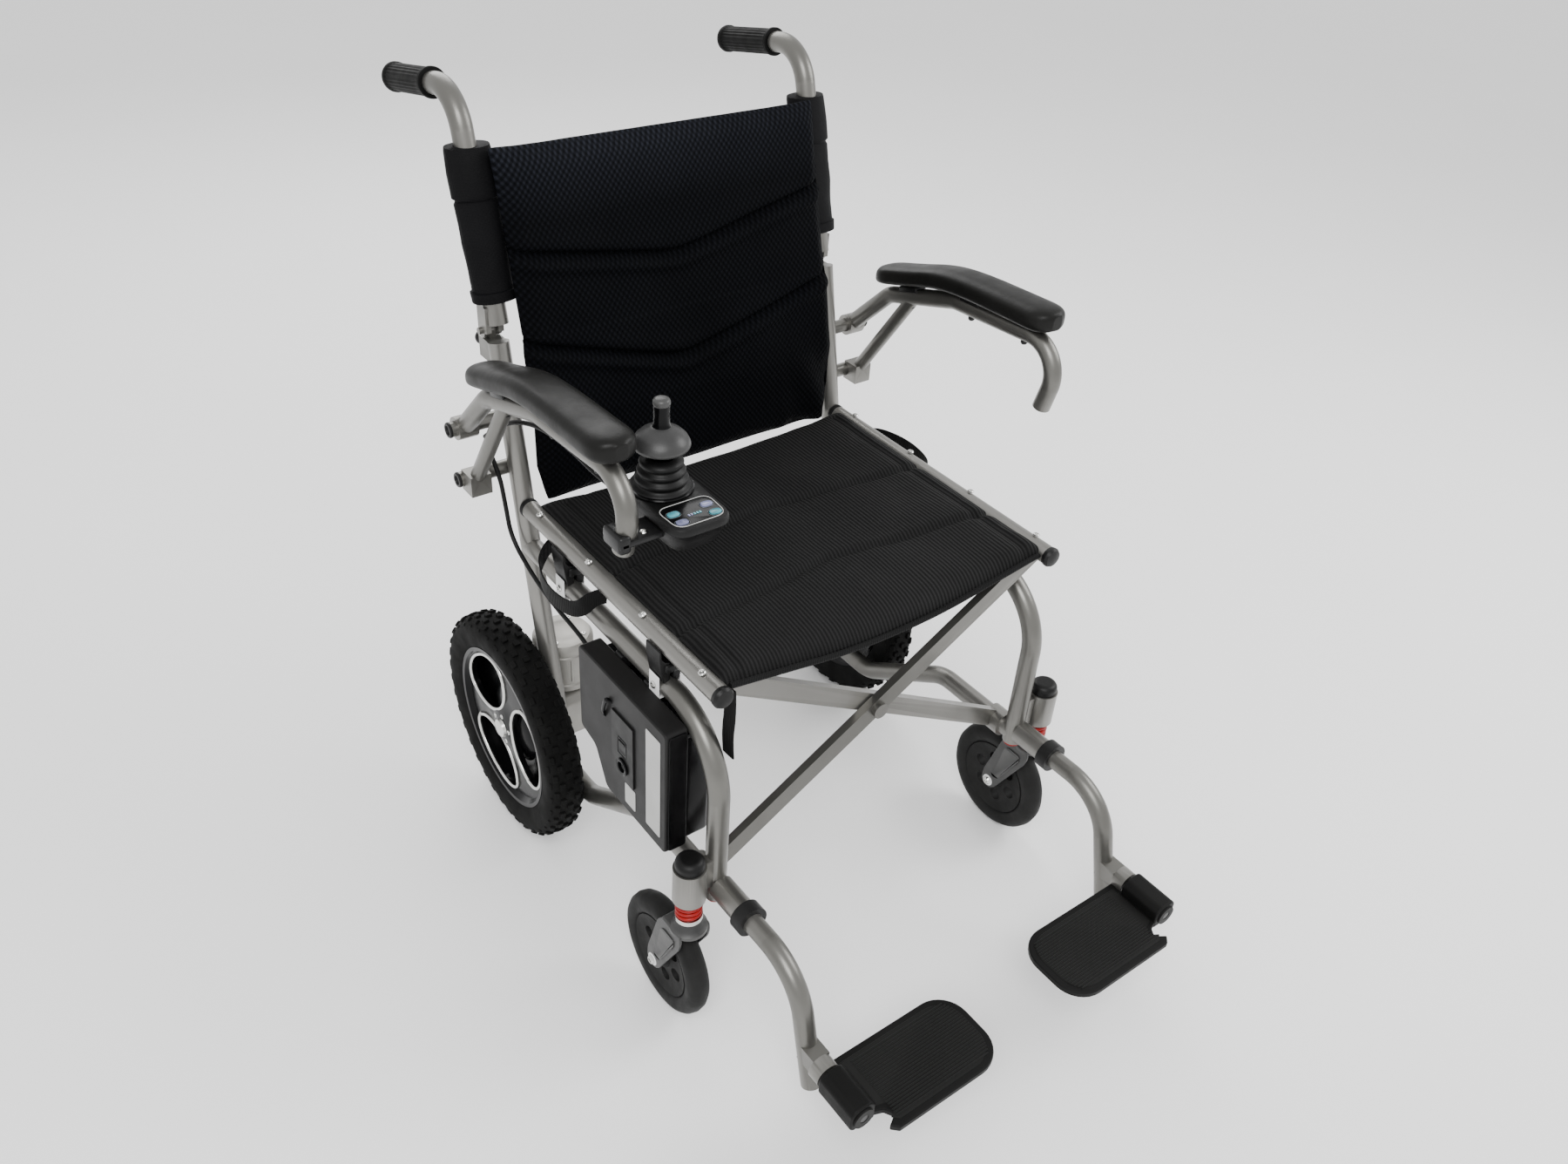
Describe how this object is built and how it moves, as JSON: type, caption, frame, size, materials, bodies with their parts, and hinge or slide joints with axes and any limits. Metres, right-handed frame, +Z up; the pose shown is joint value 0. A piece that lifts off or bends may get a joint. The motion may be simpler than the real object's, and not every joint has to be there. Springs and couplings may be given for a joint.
{
  "type": "power wheelchair",
  "caption": "Folding electric wheelchair: tubular cross-brace frame, sling seat and back, flip-up armrests, joystick, drive wheels, sprung front casters and footplates",
  "frame": {"origin": "middle of the bounding box at floor level", "axes": "+X to the user's left, +Y to the rear (the user faces -Y), +Z up"},
  "size_m": [0.632, 1.01, 0.9533],
  "materials": {
    "frame_paint": "satin silver-grey paint",
    "black_plastic": "satin",
    "tyre_rubber": "moulded tread",
    "steel": "satin",
    "red_spring": "red powder coat",
    "black_metal": "satin",
    "motor_cast": "satin",
    "plate_plastic": "satin",
    "grip_rubber": "satin",
    "pad_foam": "satin",
    "seat_fabric": "woven nylon, padded",
    "button_plastic": "satin",
    "boot_rubber": "satin",
    "stick_plastic": "satin",
    "battery_plastic": "satin",
    "cable_rubber": "satin"
  },
  "bodies": {
    "side_frame_right": {"rear_post_right": "frame_paint", "front_frame_right": "frame_paint", "lower_rail_right": "frame_paint", "caster_housing_right": "frame_paint", "seat_cradles_right": "black_plastic", "gear_motor_right": "motor_cast", "hanger_collar_right": "black_plastic", "caster_spring_right": "red_spring", "battery_case": "battery_plastic", "back_upholstery_lower": "seat_fabric", "cable_frame": "cable_rubber"},
    "side_frame_left": {"rear_post_left": "frame_paint", "front_frame_left": "frame_paint", "lower_rail_left": "frame_paint", "caster_housing_left": "frame_paint", "seat_cradles_left": "black_plastic", "gear_motor_left": "motor_cast", "hanger_collar_left": "black_plastic", "caster_spring_left": "red_spring"},
    "brace_a": {"brace_bar_a": "frame_paint", "seat_rail_left": "frame_paint"},
    "brace_b": {"brace_bar_b": "frame_paint", "seat_rail_right": "frame_paint", "seat_upholstery": "seat_fabric"},
    "backrest_right": {"back_cane_right": "frame_paint", "push_grip_right": "grip_rubber", "back_upholstery_upper": "seat_fabric"},
    "backrest_left": {"back_cane_left": "frame_paint", "push_grip_left": "grip_rubber"},
    "armrest_right": {"armrest_tube_right": "frame_paint", "armrest_pad_right": "pad_foam", "controller_case": "black_plastic", "joystick_boot": "boot_rubber", "cable_armrest": "cable_rubber"},
    "armrest_left": {"armrest_tube_left": "frame_paint", "armrest_pad_left": "pad_foam"},
    "release_knob": {"back_release_knob": "black_plastic"},
    "rocker_switch": {"battery_rocker": "black_plastic"},
    "gimbal": {"joystick_gimbal": "steel"},
    "stick": {"joystick": "stick_plastic"},
    "key_power": {"button_power": "button_plastic"},
    "key_horn": {"button_horn": "button_plastic"},
    "key_slower": {"button_slower": "button_plastic"},
    "key_faster": {"button_faster": "button_plastic"},
    "rear_wheel_right": {"rear_tyre_right": "tyre_rubber", "rear_rim_right": "black_metal"},
    "caster_stem_body_right": {"caster_stem_right": "steel"},
    "caster_fork_body_right": {"caster_fork_right": "black_metal"},
    "caster_wheel_right": {"caster_tyre_right": "tyre_rubber", "caster_hub_right": "black_plastic"},
    "footrest_right": {"hanger_tube_right": "frame_paint"},
    "footplate_body_right": {"footplate_right": "plate_plastic"},
    "rear_wheel_left": {"rear_tyre_left": "tyre_rubber", "rear_rim_left": "black_metal"},
    "caster_stem_body_left": {"caster_stem_left": "steel"},
    "caster_fork_body_left": {"caster_fork_left": "black_metal"},
    "caster_wheel_left": {"caster_tyre_left": "tyre_rubber", "caster_hub_left": "black_plastic"},
    "footrest_left": {"hanger_tube_left": "frame_paint"},
    "footplate_body_left": {"footplate_left": "plate_plastic"}
  },
  "joints": [
    {"name": "frame_fold", "type": "hinge", "parent": "side_frame_right", "child": "brace_a", "pos_m": [-0.236, -0.168, 0.207], "axis": [0, -1, 0], "range_deg": [0, 13], "deforming": ["seat_upholstery", "back_upholstery_lower", "back_upholstery_upper"]},
    {"name": "brace_cross", "type": "hinge", "parent": "brace_a", "child": "brace_b", "pos_m": [0, -0.168, 0.346], "axis": [0, -1, 0], "range_deg": [-26, 0]},
    {"name": "left_frame_link", "type": "hinge", "parent": "brace_b", "child": "side_frame_left", "pos_m": [0.236, -0.168, 0.207], "axis": [0, -1, 0], "range_deg": [0, 13]},
    {"name": "backrest_fold", "type": "hinge", "parent": "side_frame_right", "child": "backrest_right", "pos_m": [-0.236, 0.288, 0.69], "axis": [-1, 0, 0], "range_deg": [0, 90]},
    {"name": "backrest_fold_left", "type": "hinge", "parent": "side_frame_left", "child": "backrest_left", "pos_m": [0.236, 0.288, 0.69], "axis": [-1, 0, 0], "range_deg": [0, 90]},
    {"name": "release_knob_pull", "type": "slide", "parent": "side_frame_right", "child": "release_knob", "axis": [0, 1, 0], "range_m": [0, 0.006], "stiffness_N_per_m": 900, "springref_m": -0.004},
    {"name": "armrest_flip_right", "type": "hinge", "parent": "side_frame_right", "child": "armrest_right", "pos_m": [-0.289, 0.262, 0.59], "axis": [-1, 0, 0], "range_deg": [0, 64]},
    {"name": "armrest_flip_left", "type": "hinge", "parent": "side_frame_left", "child": "armrest_left", "pos_m": [0.289, 0.262, 0.59], "axis": [-1, 0, 0], "range_deg": [0, 90]},
    {"name": "joystick_fore_aft", "type": "hinge", "parent": "armrest_right", "child": "gimbal", "pos_m": [-0.225, -0.062, 0.668], "axis": [1, 0, 0], "range_deg": [-15, 15], "stiffness_Nm_per_rad": 0.4},
    {"name": "joystick_side", "type": "hinge", "parent": "gimbal", "child": "stick", "pos_m": [-0.225, -0.062, 0.668], "axis": [0, 1, 0], "range_deg": [-15, 15], "stiffness_Nm_per_rad": 0.4, "deforming": ["joystick_boot"]},
    {"name": "press_power", "type": "slide", "parent": "armrest_right", "child": "key_power", "axis": [0, 0, -1], "range_m": [0, 0.0012], "stiffness_N_per_m": 800, "springref_m": -0.0008},
    {"name": "press_horn", "type": "slide", "parent": "armrest_right", "child": "key_horn", "axis": [0, 0, -1], "range_m": [0, 0.0012], "stiffness_N_per_m": 800, "springref_m": -0.0008},
    {"name": "press_slower", "type": "slide", "parent": "armrest_right", "child": "key_slower", "axis": [0, 0, -1], "range_m": [0, 0.0012], "stiffness_N_per_m": 800, "springref_m": -0.0008},
    {"name": "press_faster", "type": "slide", "parent": "armrest_right", "child": "key_faster", "axis": [0, 0, -1], "range_m": [0, 0.0012], "stiffness_N_per_m": 800, "springref_m": -0.0008},
    {"name": "power_rocker", "type": "hinge", "parent": "side_frame_right", "child": "rocker_switch", "pos_m": [-0.2774, -0.07, 0.34], "axis": [0, 1, 0], "range_deg": [-9, 9]},
    {"name": "rear_wheel_spin_right", "type": "hinge", "parent": "side_frame_right", "child": "rear_wheel_right", "pos_m": [-0.277, 0.22, 0.157], "axis": [1, 0, 0], "continuous": true},
    {"name": "caster_suspension_right", "type": "slide", "parent": "side_frame_right", "child": "caster_stem_body_right", "axis": [0, 0, 1], "range_m": [0, 0.01], "stiffness_N_per_m": 15000, "springref_m": -0.009, "deforming": ["caster_spring_right"]},
    {"name": "caster_swivel_right", "type": "hinge", "parent": "caster_stem_body_right", "child": "caster_fork_body_right", "pos_m": [-0.274, -0.201, 0.175], "axis": [0, 0, 1], "continuous": true},
    {"name": "caster_roll_right", "type": "hinge", "parent": "caster_fork_body_right", "child": "caster_wheel_right", "pos_m": [-0.274, -0.158, 0.078], "axis": [1, 0, 0], "continuous": true},
    {"name": "footrest_reach_right", "type": "slide", "parent": "side_frame_right", "child": "footrest_right", "axis": [0, -1, 0], "range_m": [0, 0.035]},
    {"name": "footplate_flip_right", "type": "hinge", "parent": "footrest_right", "child": "footplate_body_right", "pos_m": [-0.238, -0.44, 0.12], "axis": [0, -1, 0], "range_deg": [0, 88]},
    {"name": "rear_wheel_spin_left", "type": "hinge", "parent": "side_frame_left", "child": "rear_wheel_left", "pos_m": [0.277, 0.22, 0.157], "axis": [1, 0, 0], "continuous": true},
    {"name": "caster_suspension_left", "type": "slide", "parent": "side_frame_left", "child": "caster_stem_body_left", "axis": [0, 0, 1], "range_m": [0, 0.01], "stiffness_N_per_m": 15000, "springref_m": -0.009, "deforming": ["caster_spring_left"]},
    {"name": "caster_swivel_left", "type": "hinge", "parent": "caster_stem_body_left", "child": "caster_fork_body_left", "pos_m": [0.274, -0.201, 0.175], "axis": [0, 0, 1], "continuous": true},
    {"name": "caster_roll_left", "type": "hinge", "parent": "caster_fork_body_left", "child": "caster_wheel_left", "pos_m": [0.274, -0.158, 0.078], "axis": [1, 0, 0], "continuous": true},
    {"name": "footrest_reach_left", "type": "slide", "parent": "side_frame_left", "child": "footrest_left", "axis": [0, -1, 0], "range_m": [0, 0.035]},
    {"name": "footplate_flip_left", "type": "hinge", "parent": "footrest_left", "child": "footplate_body_left", "pos_m": [0.238, -0.44, 0.12], "axis": [0, 1, 0], "range_deg": [0, 88]}
  ],
  "couplings": [
    {"joint": "brace_cross", "follows": "frame_fold", "ratio": -2},
    {"joint": "left_frame_link", "follows": "frame_fold", "ratio": 1},
    {"joint": "backrest_fold_left", "follows": "backrest_fold", "ratio": 1}
  ]
}
